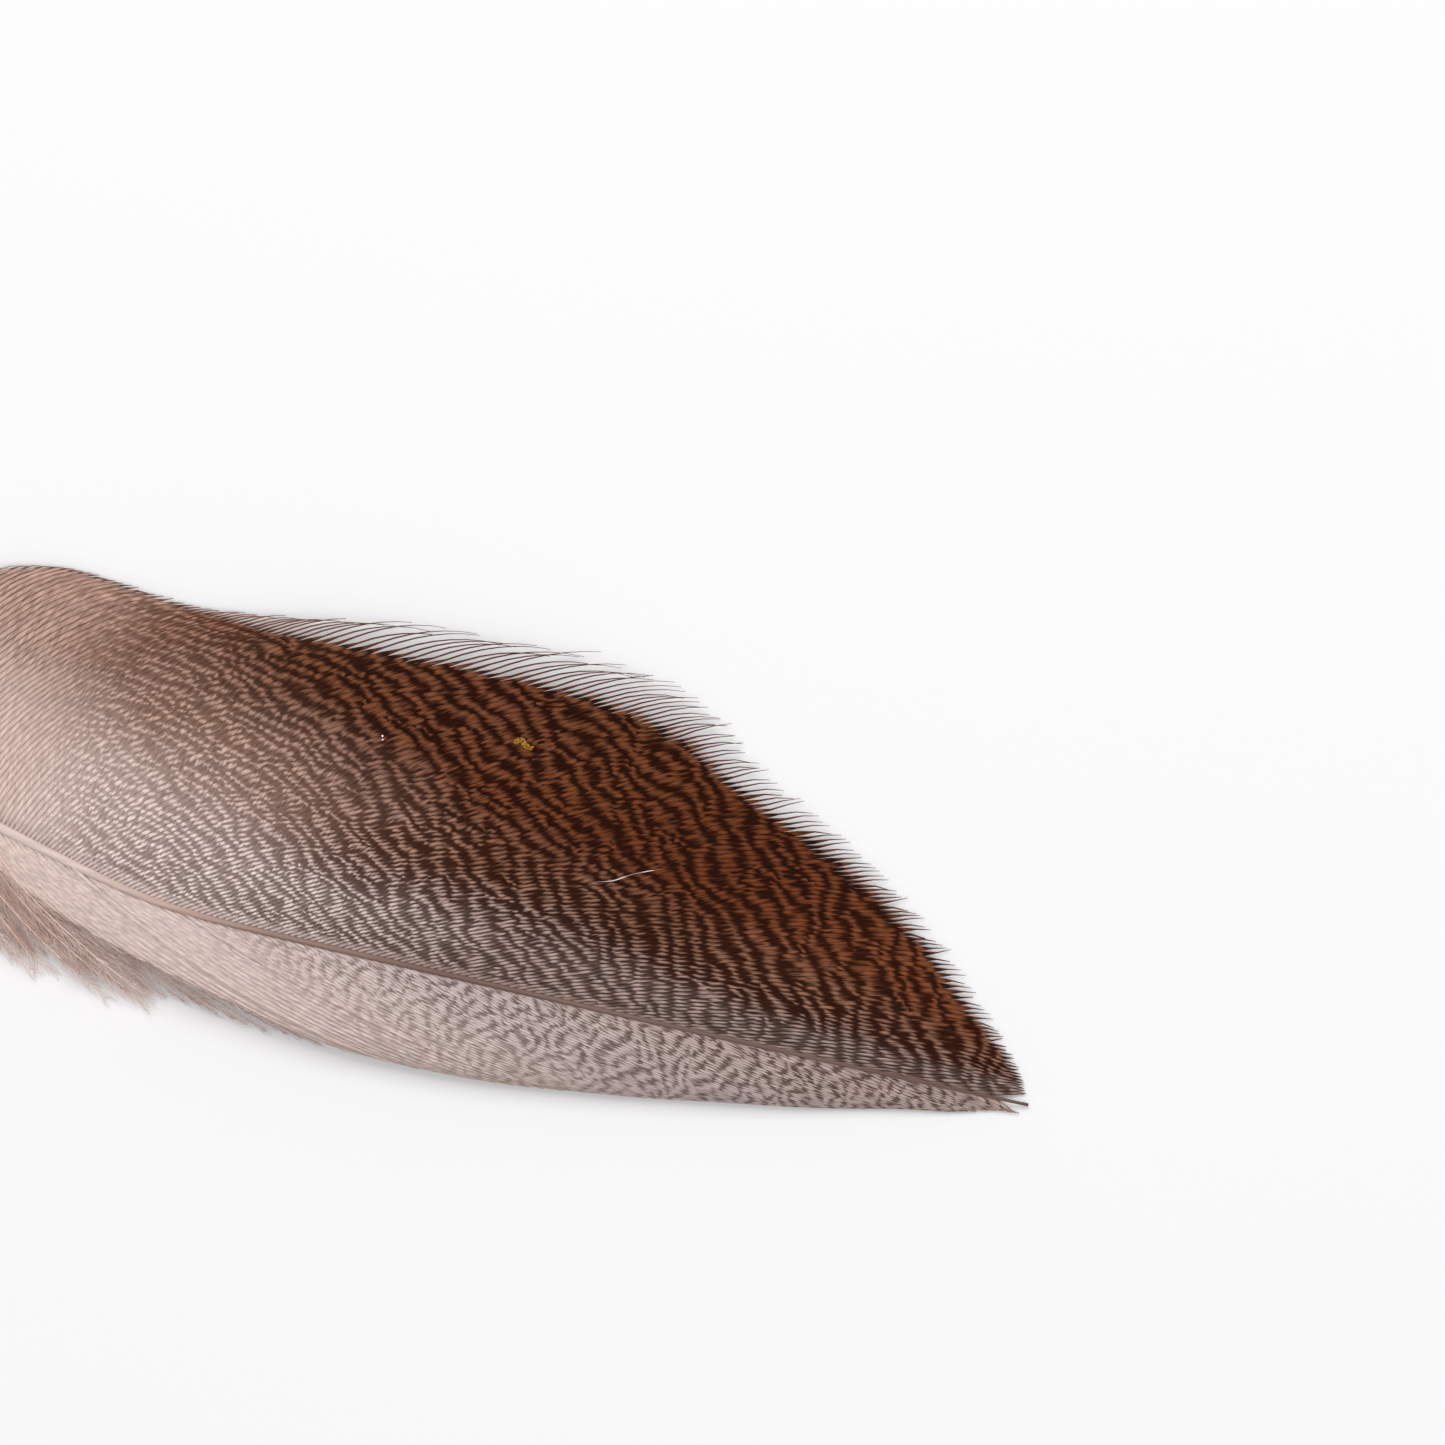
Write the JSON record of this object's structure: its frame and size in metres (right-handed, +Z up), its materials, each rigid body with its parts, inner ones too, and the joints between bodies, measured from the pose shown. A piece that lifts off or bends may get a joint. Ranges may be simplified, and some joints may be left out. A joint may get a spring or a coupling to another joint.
{
  "type": "bronze mallard feather",
  "caption": "Shoulder feather of a bronze mallard: curved shaft, wide dark bronze vane, narrow grey vane and soft down at the quill, lying back up.",
  "frame": {"origin": "centre of the bounding box, on the surface that the feather lies on", "axes": "+X along the shaft from quill to tip, +Y to the wide vane, +Z up, away from the surface"},
  "size_m": [0.0982, 0.033, 0.0052],
  "materials": {
    "feather": "feather keratin: dark bronze wide vane with rust and tan wavy lines, light grey narrow vane with brown dashes, beige quill"
  },
  "bodies": {
    "root": {"feather": "feather"}
  },
  "joints": []
}
